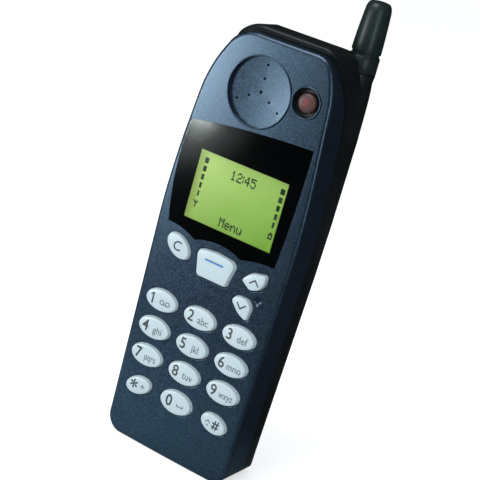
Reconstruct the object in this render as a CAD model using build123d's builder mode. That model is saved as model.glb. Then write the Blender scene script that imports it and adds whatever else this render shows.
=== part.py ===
from build123d import *
import os

os.makedirs("parts", exist_ok=True)

# Mobile phone with a stub antenna, standing on its flat lower end.
# +Z is up, the keys face -Y, +X is the right-hand side seen from the front.
# Depths are counted from the front face towards the back.

# Overall sizes
body_width = 47.2
body_height = 132.0
body_depth = 29.8
cap_rise = 1.2            # key caps stand this far in front of the face
front_round = 1.4         # rounding where the face turns into the sides
inner_round = 0.5         # the same corner inside the shell
face_bow = 640.0          # radius of the gently bowed face
back_round = 11.0         # rounding where the sides turn into the back
back_taper = 2.6          # each side leans in by this much towards the back
crown = 2.2               # the rear case rises this far above the face
crown_depth = 2.6         # and starts this far behind it
crown_round = 1.8
shell_wall = 1.6
seam_depth = 0.37 * body_depth   # where the front cover ends and the rear case starts
gap = 0.2                 # between pieces that come apart
fit = 0.05                # between pieces that stay together

half_width = body_width / 2
size_unit = body_height / 132    # corner roundings grow with the height
face_y = cap_rise / 2 - body_depth / 2

# Battery pack
pack_depth = 0.534 * body_depth
pack_low = 10.0           # clear of the connector in the lower end
pack_high = 0.695 * body_height
floor_thick = 1.2

# Keys and what lies behind them
travel = 0.8              # key travel
key_gap = 0.3
key_lip = 0.35            # rounding of the cover where a key comes through
flange_thick = 0.6
flange_lip = 0.55
stem_long = 0.4
pad_thick = 0.3
mat_thick = 0.6
dome_thick = 0.2
board_thick = 1.0

face_sag = half_width ** 2 / (2 * face_bow)
flange_depth = shell_wall + gap + 0.8 * face_sag
flange_back = flange_depth + flange_thick
pad_depth = flange_back + stem_long + travel + gap
mat_depth = pad_depth + pad_thick
board_depth = mat_depth + mat_thick + dome_thick
board_back = board_depth + board_thick

# Display
view_wide = 30.4
view_tall = 21.0
lens_head = 10.2          # the window stands this far above the view
lens_foot = 5.2           # and this far below it
lens_thick = 1.0
mask_thick = 0.15

# Earpiece and power button
ear_x = -1.8
ear_z = body_height - 15.9
ear_radius = 10.15
ear_wall = 0.9            # upright edge of the dish
ear_dish = 1.35           # depth at its middle
rim_ring = 0.3            # bead around the dish and the power button's well
power_x = 0.564 * half_width
power_z = body_height - 14.1
power_well = 4.35
power_well_deep = 1.9
power_radius = 2.9

# The window sits below the dish, and the keys share what is left below it
view_low = ear_z - ear_radius - lens_head - 1.35 - view_tall
view_height = view_low + view_tall / 2
keypad_high = view_low - lens_foot
column = 0.297 * body_width
row_pitch = 0.1333 * keypad_high
row_top = 0.681 * keypad_high
row_zero = 0.273 * keypad_high
row_signs = 0.265 * keypad_high
cap_wide = 0.80 * column
cap_tall = 0.725 * row_pitch
unit_x = column / 14      # the other caps are drawn on this grid
unit_z = row_pitch / 9.1

# Buzzer behind the board, this far below the top
buzzer_drop = 20.0
buzzer_radius = 5.0

# Antenna
antenna_x = 0.737 * half_width
antenna_depth = 0.671 * body_depth
antenna_radius = 4.4
antenna_tip = 0.87 * antenna_radius
antenna_foot = body_height - 3.5
antenna_top = body_height + 17.0
spigot_radius = 0.53 * antenna_radius
bush_wall = 1.0
bush_low = antenna_foot - 14.0
leaf_x = antenna_x - 2.0

# Charger socket and system connector in the lower end
socket_x = 13.5
socket_radius = 1.75
socket_long = 6.5
port_depth = 0.503 * body_depth
mic_x = -6.0


def depth_plane(depth):
    """Plane parallel to the face, drawn upright as seen from the front."""
    return Plane(origin=(0, face_y + depth, 0), x_dir=(1, 0, 0), z_dir=(0, -1, 0))


def soft_shape(points, radii, grow=0.0):
    """Closed polygon with its own rounding at every corner."""
    with BuildSketch() as shape:
        with BuildLine():
            Polyline(*points, close=True)
        make_face()
        for point, radius in zip(points, radii):
            if radius:
                fillet(shape.vertices().sort_by_distance(point)[0], radius=radius)
        if grow:
            offset(amount=grow)
    return shape.sketch


def body_outline(inset):
    """Front view of the body."""
    points = [
        (-0.945 * half_width, 0),
        (-1.019 * half_width, 0.636 * body_height),
        (-0.873 * half_width, 0.894 * body_height),
        (-0.551 * half_width, body_height),
        (0.720 * half_width, body_height),
        (0.886 * half_width, 0.924 * body_height),
        (1.014 * half_width, 0.636 * body_height),
        (0.945 * half_width, 0),
    ]
    radii = [5.5, 250, 40, 10, 6.5, 28, 250, 5.5]
    return soft_shape(points, [radius * size_unit for radius in radii], -inset)


def body_profile(inset):
    """Side view of the body, wider than the back so that only its ends count."""
    points = [
        (face_y - 5, 0),
        (face_y + 0.72 * body_depth, 0),
        (face_y + 0.87 * body_depth, 0.10 * body_height),
        (face_y + body_depth + 4, 0.5 * body_height),
        (face_y + body_depth + 4, 0.84 * body_height),
        (face_y + 0.86 * body_depth, 0.955 * body_height),
        (face_y + 0.50 * body_depth, body_height),
        (face_y - 5, body_height),
    ]
    radii = [0, 5, 12, 20, 12, 9, 16, 0]
    return soft_shape(points, [radius * size_unit for radius in radii], -inset)


def cross_section(depth, inset):
    """Plan view of the body at one height, open towards the front."""
    side = half_width + 0.1
    points = [(-side, face_y - 5), (side, face_y - 5)]
    points += [(side, face_y + seam_depth), (side - back_taper, face_y + depth)]
    points += [(back_taper - side, face_y + depth), (-side, face_y + seam_depth)]
    corner = min(back_round, 0.85 * (depth - seam_depth))
    return soft_shape(points, [0, 0, corner / 3, corner, corner, corner / 3], -inset)


def back_loft(inset):
    """Sides and back of the body, from the lower end to past the top."""
    with BuildPart() as back:
        shares = [(-0.02, 0.72), (0.10, 0.80), (0.5, 0.975), (0.62, 1.0), (0.82, 1.0), (1.03, 0.93)]
        for height, share in shares:
            with BuildSketch(Plane.XY.offset(height * body_height)):
                add(cross_section(share * body_depth, inset))
        loft(ruled=True)
    return back.part


def body_blank(inset, edge_round):
    """The whole body made smaller by inset on every side."""
    with BuildPart() as blank:
        with BuildSketch(depth_plane(inset)):
            add(body_outline(inset))
        extrude(amount=-body_depth)
        with BuildSketch(Plane.XY):
            with Locations((0, face_y + inset + face_bow)):
                Circle(face_bow)
        extrude(amount=2 * body_height, mode=Mode.INTERSECT)
        fillet(blank.faces().sort_by(Axis.Y)[0].edges(), radius=edge_round)
        with BuildSketch(Plane.YZ.offset(-body_width)):
            add(body_profile(inset))
        extrude(amount=2 * body_width, mode=Mode.INTERSECT)
        add(back_loft(inset), mode=Mode.INTERSECT)
    return blank.part


def crown_hood():
    """Top of the rear case, which stands up behind the face."""
    with BuildPart() as hood:
        with BuildSketch(depth_plane(crown_depth)):
            with Locations((0, crown)):
                add(body_outline(0))
        extrude(amount=-body_depth)
        fillet(hood.faces().sort_by(Axis.Y)[0].edges(), radius=crown_round)
        with BuildSketch(Plane.YZ.offset(-body_width)):
            with Locations((0, crown)):
                add(body_profile(0))
        extrude(amount=2 * body_width, mode=Mode.INTERSECT)
        add(back_loft(0), mode=Mode.INTERSECT)
    return hood.part


def seam_zone(push):
    """Everything in front of the seam between the cover and the rear case."""
    with BuildPart() as zone:
        with BuildSketch(Plane.YZ.offset(-body_width)):
            with BuildLine():
                start = (face_y + seam_depth + push, 0.80 * body_height)
                end = (face_y + 2.4 + push, body_height + 2)
                Line((face_y - 9, -5), (face_y + seam_depth + push, -5))
                Line((face_y + seam_depth + push, -5), start)
                Spline(start, end, tangents=[(0, 1), (-0.35, 1)])
                Line(end, (face_y - 9, body_height + 2))
                Line((face_y - 9, body_height + 2), (face_y - 9, -5))
            make_face()
        extrude(amount=2 * body_width)
    return zone.part


def key_shape(name, grow=0.0):
    """Front view of one key cap."""
    if name in ovals:
        x, z, wide, tall, tilt = ovals[name]
        with BuildSketch() as shape:
            with Locations((x, z)):
                Ellipse(wide / 2 + grow, tall / 2 + grow, rotation=tilt)
        return shape.sketch
    return soft_shape(corners[name], [1.0] * len(corners[name]), grow)


ovals = {
    "key_clear": (-0.957 * column, row_top + 18 * unit_z, 0.84 * cap_wide, 0.89 * cap_tall, -31),
    "key_star": (-column, row_signs, 0.80 * cap_wide, 0.85 * cap_tall, 18),
    "key_0": (0, row_zero, cap_wide, 1.08 * cap_tall, 0),
    "key_hash": (column, row_signs, 0.80 * cap_wide, 0.85 * cap_tall, -12),
}
for index in range(9):
    place_x = (index % 3 - 1) * column
    place_z = row_top - (index // 3) * row_pitch
    ovals[f"key_{index + 1}"] = (place_x, place_z, cap_wide, cap_tall, 0)

menu_z = row_top + 16.7 * unit_z
arrow_z = row_top + 12.4 * unit_z
drawn = {
    "key_menu": [
        (-6.8, 2.6), (-5.4, 3.7), (0, 4.3), (5.4, 3.7), (6.8, 2.6), (5.2, -4.5), (-5.2, -4.5),
    ],
    "key_up": [
        (-4.4, 4.5), (-1.6, 7.4), (3.3, 8.4), (3.5, 5.8), (2.2, 3.4), (-0.7, 2.2),
    ],
    "key_down": [
        (-5.7, -2.3), (-4.2, -0.6), (-0.5, -0.6), (1.4, -2.6), (0.9, -7.0), (-2.4, -5.6),
    ],
}
middles = {"key_menu": (0, menu_z), "key_up": (column, arrow_z), "key_down": (column, arrow_z)}
corners = {}
for name, points in drawn.items():
    mid_x, mid_z = middles[name]
    corners[name] = [(mid_x + x * unit_x, mid_z + z * unit_z) for x, z in points]
key_names = list(ovals) + list(corners)


def lens_shape(grow):
    """Front view of the display window with three scallops along its lower edge."""
    low = view_low
    high = view_low + view_tall
    left = -0.907 * half_width
    right = 0.826 * half_width
    with BuildSketch() as shape:
        with BuildLine():
            top_left = (left + 0.5, high + lens_head - 2.8)
            top_right = (right + 0.3, high + lens_head + 1.4)
            low_right = (0.780 * half_width, low - 3.4)
            low_left = (-0.826 * half_width, low - 2.9)
            cusp_left = (-0.381 * half_width, low - lens_foot)
            cusp_right = (0.314 * half_width, low - lens_foot)
            ThreePointArc(top_left, (-0.9, high + lens_head), top_right)
            ThreePointArc(top_right, (right, low + 0.62 * view_tall), low_right)
            ThreePointArc(low_right, (13.6, low - 3.7), cusp_right)
            ThreePointArc(cusp_right, (-0.8, low - 3.5), cusp_left)
            ThreePointArc(cusp_left, (-14.4, low - 3.4), low_left)
            ThreePointArc(low_left, (left - 0.15, low + 0.57 * view_tall), top_left)
        make_face()
        if grow:
            offset(amount=grow, kind=Kind.INTERSECTION)
    return shape.sketch


outer_blank = body_blank(0, front_round)
inner_blank = body_blank(shell_wall, inner_round)
front_zone = seam_zone(0)
rear_limit = seam_zone(gap)

well_floor = shell_wall + 0.8
ear_back = shell_wall + 1.3

# Front cover
with BuildPart() as front_cover:
    add(outer_blank)
    add(inner_blank, mode=Mode.SUBTRACT)
    add(front_zone, mode=Mode.INTERSECT)
    # backing for the earpiece dish and the power button's well
    with BuildSketch(depth_plane(shell_wall)):
        with Locations((ear_x, ear_z)):
            Circle(ear_radius + 1.0)
    extrude(amount=-(ear_back - shell_wall))
    with BuildSketch(depth_plane(shell_wall)):
        with Locations((power_x, power_z)):
            Circle(power_well + 0.6)
    extrude(amount=-(well_floor - shell_wall))
    add(outer_blank, mode=Mode.INTERSECT)
    with Locations(Location((ear_x, face_y, ear_z), (90, 0, 0))):
        Torus(ear_radius + rim_ring / 2, rim_ring)
    with Locations(Location((power_x, face_y + 0.2, power_z), (90, 0, 0))):
        Torus(power_well + rim_ring / 2, rim_ring)
    # earpiece dish with its sound holes
    dish_sag = ear_dish - ear_wall
    dish_ball = (ear_radius ** 2 + dish_sag ** 2) / (2 * dish_sag)
    with BuildPart(mode=Mode.PRIVATE) as dish:
        with Locations((ear_x, face_y + ear_dish - dish_ball, ear_z)):
            Sphere(dish_ball)
        with Locations(Location((ear_x, face_y, ear_z), (90, 0, 0))):
            Cylinder(ear_radius, 8, mode=Mode.INTERSECT)
    add(dish.part, mode=Mode.SUBTRACT)
    with BuildSketch(depth_plane(0)):
        with Locations((ear_x, ear_z)):
            Circle(0.5)
            with PolarLocations(4.0, 3, start_angle=90):
                Circle(0.4)
            with PolarLocations(8.0, 3, start_angle=90):
                Circle(0.4)
    extrude(amount=-2 * ear_back, mode=Mode.SUBTRACT)
    # well of the power button
    with BuildSketch(depth_plane(0)):
        with Locations((power_x, power_z)):
            Circle(power_well)
    extrude(amount=-power_well_deep, mode=Mode.SUBTRACT)
    with BuildSketch(depth_plane(0)):
        with Locations((power_x, power_z)):
            Circle(power_radius + key_gap)
    extrude(amount=-4, mode=Mode.SUBTRACT)
    # seat of the display window, and the opening behind it
    with BuildSketch(depth_plane(-1)):
        add(lens_shape(fit))
    extrude(amount=-(1 + lens_thick + mask_thick), mode=Mode.SUBTRACT)
    with BuildSketch(depth_plane(0)):
        with Locations((0, view_height)):
            Rectangle(view_wide + 3.0, view_tall + 3.0)
    extrude(amount=-2 * shell_wall, mode=Mode.SUBTRACT)
    # key openings
    with BuildSketch(depth_plane(0)):
        for name in key_names:
            add(key_shape(name, key_gap))
    extrude(amount=-2 * shell_wall, mode=Mode.SUBTRACT)
    # soft edges where the keys come through
    lips = front_cover.edges().filter_by(lambda edge: edge.bounding_box().max.Y < face_y + 0.6)
    lips = lips.filter_by(lambda edge: edge.bounding_box().max.Z < keypad_high - 0.3)
    lips = lips.filter_by(lambda edge: abs(edge.center().X) + edge.length / 9 < 0.86 * half_width)
    fillet(lips, radius=key_lip)
    # thumb dimple between the two arrow keys
    with Locations((column + 2.6 * unit_x, face_y - 0.9, arrow_z)):
        Sphere(1.9, mode=Mode.SUBTRACT)
    # microphone hole in the lower end
    with Locations((mic_x, face_y + 0.62 * seam_depth, shell_wall)):
        Cylinder(0.5, 4 * shell_wall, mode=Mode.SUBTRACT)
front_cover.part.label = "front_cover"
export_step(front_cover.part, "parts/front_cover.step")

# Display window and the printed mask on its back
with BuildPart() as display_lens:
    with BuildSketch(depth_plane(0)):
        add(lens_shape(0))
    extrude(amount=-lens_thick)
    add(outer_blank, mode=Mode.INTERSECT)
display_lens.part.label = "display_lens"
export_step(display_lens.part, "parts/display_lens.step")

with BuildPart() as display_mask:
    with BuildSketch(depth_plane(lens_thick)):
        add(lens_shape(0))
        with Locations((0, view_height)):
            Rectangle(view_wide, view_tall, mode=Mode.SUBTRACT)
    extrude(amount=-mask_thick)
    add(outer_blank, mode=Mode.INTERSECT)
display_mask.part.label = "display_mask"
export_step(display_mask.part, "parts/display_mask.step")

# Keys: a cap through the cover, a flange behind it and a short stem
for name in key_names:
    with BuildPart() as key:
        with BuildSketch(depth_plane(-cap_rise)):
            add(key_shape(name))
        extrude(amount=-(cap_rise + flange_depth))
        fillet(key.faces().sort_by(Axis.Y)[0].edges(), radius=0.6)
        with BuildSketch(depth_plane(flange_depth)):
            add(key_shape(name, flange_lip))
        extrude(amount=-flange_thick)
        with BuildSketch(depth_plane(flange_back)):
            add(key_shape(name, -0.8))
        extrude(amount=-stem_long)
    key.part.label = name
    export_step(key.part, f"parts/{name}.step")

power_flange = well_floor + gap
with BuildPart() as power_button:
    with BuildSketch(depth_plane(0.1)):
        with Locations((power_x, power_z)):
            Circle(power_radius)
    extrude(amount=-(power_flange - 0.1))
    fillet(power_button.faces().sort_by(Axis.Y)[0].edges(), radius=0.9)
    with BuildSketch(depth_plane(power_flange)):
        with Locations((power_x, power_z)):
            Circle(power_radius + 0.9)
    extrude(amount=-0.5)
power_button.part.label = "power_button"
export_step(power_button.part, "parts/power_button.step")

# Rear case with the battery bay, the antenna boss and the sockets in its lower end
bay_depth = pack_depth - gap
bay_low = pack_low - gap
bay_high = pack_high + gap
screw_places = [(-15.0, 0.19 * body_height), (15.0, 0.19 * body_height)]
screw_places += [(-15.0, 0.62 * body_height), (15.0, 0.62 * body_height)]
head_radius = 1.8
screw_radius = 0.9
contact_x = [-4.5, -1.5, 1.5, 4.5]
contact_z = pack_low + 8.0
card_wide = 18.0
card_tall = 0.197 * body_height
card_z = 0.30 * body_height

with BuildPart() as case_inside:
    add(inner_blank)
    with BuildSketch(depth_plane(bay_depth - floor_thick)):
        with Locations((0, (bay_low + bay_high) / 2)):
            Rectangle(2 * body_width, bay_high - bay_low + 2 * shell_wall)
    extrude(amount=-body_depth, mode=Mode.SUBTRACT)

with BuildPart() as rear_case:
    add(outer_blank)
    add(crown_hood())
    add(rear_limit, mode=Mode.SUBTRACT)
    add(case_inside.part, mode=Mode.SUBTRACT)
    # antenna boss that grows out of the right shoulder
    boss_low = 0.84 * body_height
    boss_top = antenna_foot - gap
    with BuildSketch(Plane.XY.offset(boss_low)):
        with Locations((antenna_x, face_y + antenna_depth)):
            Circle(antenna_radius - 1.5)
    with BuildSketch(Plane.XY.offset(boss_top)):
        with Locations((antenna_x, face_y + antenna_depth)):
            Circle(antenna_radius + 0.15)
    loft()
    # seat under the antenna, and a slot for the leaf that feeds it
    with Locations((antenna_x, face_y + antenna_depth, boss_top)):
        Cylinder(
            antenna_radius + 0.3, body_height, align=(Align.CENTER, Align.CENTER, Align.MIN),
            mode=Mode.SUBTRACT,
        )
    with Locations((leaf_x, face_y + antenna_depth - 4, bush_low - 0.2)):
        Box(3.0 + 2 * fit, 8.0, 0.4 + 2 * fit, mode=Mode.SUBTRACT)
    # battery bay
    with BuildSketch(depth_plane(bay_depth)):
        with Locations((0, (bay_low + bay_high) / 2)):
            Rectangle(2 * body_width, bay_high - bay_low)
    extrude(amount=-body_depth, mode=Mode.SUBTRACT)
    # bore for the antenna bush
    with Locations((antenna_x, face_y + antenna_depth, bush_low - 0.5)):
        Cylinder(
            spigot_radius + bush_wall + fit, 20, align=(Align.CENTER, Align.CENTER, Align.MIN),
            mode=Mode.SUBTRACT,
        )
    # screw holes with sunk heads
    with BuildSketch(depth_plane(bay_depth - floor_thick - 1)):
        with Locations(*screw_places):
            Circle(screw_radius + fit)
    extrude(amount=-(floor_thick + 2), mode=Mode.SUBTRACT)
    with BuildSketch(depth_plane(bay_depth - 0.8)):
        with Locations(*screw_places):
            Circle(head_radius + fit)
    extrude(amount=-2, mode=Mode.SUBTRACT)
    # windows for the battery contacts and the card
    with BuildSketch(depth_plane(bay_depth - floor_thick - 1)):
        with Locations((0, contact_z)):
            Rectangle(13.0 + 2 * fit, 6.0 + 2 * fit)
        with Locations((0, card_z)):
            Rectangle(card_wide, card_tall - 8)
    extrude(amount=-(floor_thick + 2), mode=Mode.SUBTRACT)
    # openings for the connector and the charger socket
    with Locations((0, face_y + port_depth, 0)):
        Box(17.0 + 2 * fit, 5.0 + 2 * fit, 4 * shell_wall, mode=Mode.SUBTRACT)
    with Locations((socket_x, face_y + port_depth, 0)):
        Cylinder(socket_radius + 1.0 + fit, 4 * shell_wall, mode=Mode.SUBTRACT)
rear_case.part.label = "rear_case"
export_step(rear_case.part, "parts/rear_case.step")

# Chassis frame: a rim the cover clips over and a floor behind the board
rim_inset = shell_wall + 0.4
rim_front = flange_back + travel + 0.3
rim_back = seam_depth - 0.5
stack_room = rim_back - 1.0 - board_back - 0.3   # left between board and chassis floor
mic_depth = board_back + 0.1 + stack_room / 2
mic_radius = 0.4 * stack_room
with BuildPart() as chassis_frame:
    with BuildSketch(depth_plane(rim_front)):
        add(body_outline(rim_inset))
        add(body_outline(rim_inset + 1.0), mode=Mode.SUBTRACT)
    extrude(amount=-(rim_back - rim_front))
    with BuildSketch(depth_plane(rim_back - 1.0)):
        add(body_outline(rim_inset + 0.5))
        with Locations((0, body_height)):
            Rectangle(2 * body_width, 2 * (buzzer_drop + buzzer_radius + 4), mode=Mode.SUBTRACT)
    extrude(amount=-1.0)
    # the rim stops short of the rolled top
    with BuildSketch(depth_plane(0)):
        with Locations((0, body_height)):
            Rectangle(2 * body_width, 0.24 * body_height)
    extrude(amount=-body_depth, mode=Mode.SUBTRACT)
    # pillars for the case screws
    with BuildSketch(depth_plane(rim_back)):
        with Locations(*screw_places):
            Circle(2.2)
    extrude(amount=-(bay_depth - floor_thick - rim_back))
    with BuildSketch(depth_plane(rim_back - 1.5)):
        with Locations(*screw_places):
            Circle(screw_radius + fit)
    extrude(amount=-6, mode=Mode.SUBTRACT)
    # way through to the card and the battery contacts
    with BuildSketch(depth_plane(rim_back - 1.5)):
        with Locations((0, card_z)):
            Rectangle(card_wide + 2, card_tall + 2)
        with Locations((0, contact_z)):
            Rectangle(14.0, 7.0)
    extrude(amount=-2, mode=Mode.SUBTRACT)
    # microphone sound path through the lower rim
    with Locations((mic_x, face_y + 0.62 * seam_depth, rim_inset)):
        Cylinder(0.5, 6, mode=Mode.SUBTRACT)
chassis_frame.part.label = "chassis_frame"
export_step(chassis_frame.part, "parts/chassis_frame.step")

with BuildPart() as case_screws:
    with BuildSketch(depth_plane(rim_back - 1.0)):
        with Locations(*screw_places):
            Circle(screw_radius)
    extrude(amount=-(bay_depth - 0.8 - rim_back + 1.0))
    with BuildSketch(depth_plane(bay_depth - 0.8)):
        with Locations(*screw_places):
            Circle(head_radius)
    extrude(amount=-0.7)
    with BuildSketch(depth_plane(bay_depth - 0.5)):
        with Locations(*screw_places):
            Rectangle(2.2, 0.5)
            Rectangle(0.5, 2.2)
    extrude(amount=-1, mode=Mode.SUBTRACT)
case_screws.part.label = "case_screws"
export_step(case_screws.part, "parts/case_screws.step")

# Main board and what is fixed to it
board_inset = rim_inset + 1.3
with BuildPart() as main_board:
    with BuildSketch(depth_plane(board_depth)):
        add(body_outline(board_inset))
        with Locations((0, body_height)):
            Rectangle(2 * body_width, 0.10 * body_height, mode=Mode.SUBTRACT)
    extrude(amount=-board_thick)
main_board.part.label = "main_board"
export_step(main_board.part, "parts/main_board.step")

shield_z = 0.62 * body_height
with BuildPart() as rf_shield:
    with Locations((0, face_y + board_back + stack_room / 2, shield_z)):
        Box(30, stack_room, 0.28 * body_height)
    with Locations((0, face_y + board_back + stack_room / 2 - 0.4, shield_z)):
        Box(29.4, stack_room, 0.28 * body_height - 0.6, mode=Mode.SUBTRACT)
rf_shield.part.label = "rf_shield"
export_step(rf_shield.part, "parts/rf_shield.step")

mat_low = row_signs - 6.5
mat_high = view_height - view_tall / 2 - 4.5
with BuildPart() as key_mat:
    with BuildSketch(depth_plane(mat_depth)):
        with Locations((0, (mat_low + mat_high) / 2)):
            RectangleRounded(38.0, mat_high - mat_low, 2.5)
    extrude(amount=-mat_thick)
    with BuildSketch(depth_plane(pad_depth)):
        for name in key_names:
            add(key_shape(name, -0.8))
    extrude(amount=-pad_thick)
key_mat.part.label = "key_mat"
export_step(key_mat.part, "parts/key_mat.step")

with BuildPart() as dome_sheet:
    with BuildSketch(depth_plane(board_depth - dome_thick)):
        with Locations((0, (mat_low + mat_high) / 2)):
            RectangleRounded(36.0, mat_high - mat_low - 2, 2.0)
    extrude(amount=-dome_thick)
dome_sheet.part.label = "dome_sheet"
export_step(dome_sheet.part, "parts/dome_sheet.step")

glass_depth = shell_wall + 0.8
glass_thick = 1.2
glass_wide = view_wide + 5.0
glass_tall = view_tall + 4.6
frame_wall = 0.5
guide_depth = glass_depth + glass_thick
with BuildPart() as display_glass:
    with Locations((0, face_y + glass_depth + glass_thick / 2, view_height)):
        Box(glass_wide, glass_thick, glass_tall)
display_glass.part.label = "display_glass"
export_step(display_glass.part, "parts/display_glass.step")

with BuildPart() as light_guide:
    with Locations((0, face_y + (guide_depth + board_depth) / 2, view_height)):
        Box(glass_wide, board_depth - guide_depth, glass_tall)
light_guide.part.label = "light_guide"
export_step(light_guide.part, "parts/light_guide.step")

with BuildPart() as display_frame:
    with BuildSketch(depth_plane(glass_depth)):
        with Locations((0, view_height)):
            Rectangle(glass_wide + 2 * frame_wall + 0.1, glass_tall + 2 * frame_wall + 0.1)
            Rectangle(glass_wide + 0.1, glass_tall + 0.1, mode=Mode.SUBTRACT)
    extrude(amount=-(board_depth - glass_depth))
    with BuildSketch(depth_plane(glass_depth - 0.3)):
        with Locations((0, view_height)):
            Rectangle(glass_wide + 2 * frame_wall + 0.1, glass_tall + 2 * frame_wall + 0.1)
            Rectangle(view_wide + 1.6, view_tall + 1.6, mode=Mode.SUBTRACT)
    extrude(amount=-0.3)
display_frame.part.label = "display_frame"
export_step(display_frame.part, "parts/display_frame.step")

speaker_front = ear_back + 0.6
with BuildPart() as earpiece_speaker:
    with BuildSketch(depth_plane(speaker_front)):
        with Locations((ear_x, ear_z)):
            Circle(6.5)
    extrude(amount=-(board_depth - speaker_front))
    with BuildSketch(depth_plane(speaker_front)):
        with Locations((ear_x, ear_z)):
            Circle(4.6)
            Circle(2.4, mode=Mode.SUBTRACT)
    extrude(amount=-0.3, mode=Mode.SUBTRACT)
earpiece_speaker.part.label = "earpiece_speaker"
export_step(earpiece_speaker.part, "parts/earpiece_speaker.step")

with BuildPart() as earpiece_gasket:
    with BuildSketch(depth_plane(ear_back + gap)):
        with Locations((ear_x, ear_z)):
            Circle(6.5)
            Circle(5.0, mode=Mode.SUBTRACT)
    extrude(amount=-(speaker_front - ear_back - gap))
earpiece_gasket.part.label = "earpiece_gasket"
export_step(earpiece_gasket.part, "parts/earpiece_gasket.step")

with BuildPart() as power_switch:
    with Locations((power_x, face_y + board_depth - 0.3, power_z)):
        Box(5.0, 0.6, 5.0)
    with BuildSketch(depth_plane(board_depth - 0.9)):
        with Locations((power_x, power_z)):
            Circle(1.4)
    extrude(amount=-0.4)
power_switch.part.label = "power_switch"
export_step(power_switch.part, "parts/power_switch.step")

mic_low = rim_inset + 1.1
with BuildPart() as microphone:
    with Locations((mic_x, face_y + mic_depth, mic_low + 1.4)):
        Cylinder(mic_radius, 1.4)
microphone.part.label = "microphone"
export_step(microphone.part, "parts/microphone.step")

with BuildPart() as microphone_boot:
    with Locations((mic_x, face_y + mic_depth, mic_low + 1.3)):
        Box(4.4, stack_room, 2.6)
    with Locations((mic_x, face_y + mic_depth, mic_low + 1.4)):
        Cylinder(mic_radius + fit, 1.4 + 2 * fit, mode=Mode.SUBTRACT)
    with Locations((mic_x, face_y + mic_depth, mic_low)):
        Cylinder(0.5, 3, mode=Mode.SUBTRACT)
microphone_boot.part.label = "microphone_boot"
export_step(microphone_boot.part, "parts/microphone_boot.step")

with BuildPart() as buzzer:
    with BuildSketch(depth_plane(board_back)):
        with Locations((-11.0, body_height - buzzer_drop)):
            Circle(buzzer_radius)
    extrude(amount=-3.4)
    with BuildSketch(depth_plane(board_back + 2.8)):
        with Locations((-11.0, body_height - buzzer_drop)):
            Circle(0.8)
    extrude(amount=-1, mode=Mode.SUBTRACT)
buzzer.part.label = "buzzer"
export_step(buzzer.part, "parts/buzzer.step")

with BuildPart() as sim_holder:
    with Locations((0, face_y + board_back + 1.0, card_z)):
        Box(card_wide, 2.0, card_tall)
    with Locations((0, face_y + board_back + 1.0, card_z + 1)):
        Box(15.0 + 2 * fit, 0.76 + 2 * fit, card_tall, mode=Mode.SUBTRACT)
    with Locations((0, face_y + board_back + 2.0, card_z)):
        Box(11.0, 2.0, card_tall - 8, mode=Mode.SUBTRACT)
sim_holder.part.label = "sim_holder"
export_step(sim_holder.part, "parts/sim_holder.step")

with BuildPart() as sim_card:
    with Locations((0, face_y + board_back + 1.0, card_z + 0.3)):
        Box(15.0, 0.76, card_tall - 1.4)
sim_card.part.label = "sim_card"
export_step(sim_card.part, "parts/sim_card.step")

with BuildPart() as system_connector:
    with Locations((0, face_y + port_depth - 0.45, 4.0)):
        Box(17.0, 4.0, 6.4)
    with Locations((0, face_y + port_depth - 0.45, 2.0)):
        Box(15.0, 2.4, 4.0, mode=Mode.SUBTRACT)
    with Locations((0, face_y + port_depth - 0.45, 2.6)):
        with GridLocations(1.5, 1, 9, 1):
            Box(0.6, 0.8, 3.0)
system_connector.part.label = "system_connector"
export_step(system_connector.part, "parts/system_connector.step")

with BuildPart() as charger_socket:
    with Locations((socket_x, face_y + port_depth, 0.6)):
        Cylinder(socket_radius + 1.0, socket_long, align=(Align.CENTER, Align.CENTER, Align.MIN))
    with Locations((socket_x, face_y + port_depth, 0.6)):
        Cylinder(
            socket_radius, socket_long - 1.0,
            align=(Align.CENTER, Align.CENTER, Align.MIN), mode=Mode.SUBTRACT,
        )
charger_socket.part.label = "charger_socket"
export_step(charger_socket.part, "parts/charger_socket.step")

# Battery contacts: a block in the bay's floor with four sprung blades
with BuildPart() as battery_contacts:
    with Locations((0, face_y + (board_back + bay_depth) / 2, contact_z)):
        Box(13.0, bay_depth - board_back, 6.0)
    with Locations(*[(x, face_y + bay_depth, contact_z) for x in contact_x]):
        Box(1.2, 1.0, 4.4, mode=Mode.SUBTRACT)
    with Locations(*[(x, face_y + bay_depth - 0.3, contact_z) for x in contact_x]):
        Box(0.8, 0.6, 3.0)
battery_contacts.part.label = "battery_contacts"
export_step(battery_contacts.part, "parts/battery_contacts.step")

# Antenna, its bush and the leaf that joins it to the board
with BuildPart() as antenna_stub:
    with BuildSketch(Plane.XZ):
        with BuildLine():
            Polyline(
                (0, antenna_top), (antenna_tip - 1.1, antenna_top), (antenna_tip, antenna_top - 1.4),
                (antenna_radius - 0.1, antenna_top - 11), (antenna_radius, antenna_foot + 5.9),
                (antenna_radius - 0.35, antenna_foot + 5.7), (antenna_radius - 0.35, antenna_foot + 5.0),
                (antenna_radius + 0.05, antenna_foot + 4.8), (antenna_radius + 0.1, antenna_foot),
                (spigot_radius, antenna_foot), (spigot_radius, bush_low + 3), (0, bush_low + 3),
                close=True,
            )
        make_face()
    revolve(axis=Axis.Z)
antenna_shape = antenna_stub.part.moved(Location((antenna_x, face_y + antenna_depth, 0)))
antenna_shape.label = "antenna_stub"
export_step(antenna_shape, "parts/antenna_stub.step")

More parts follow.
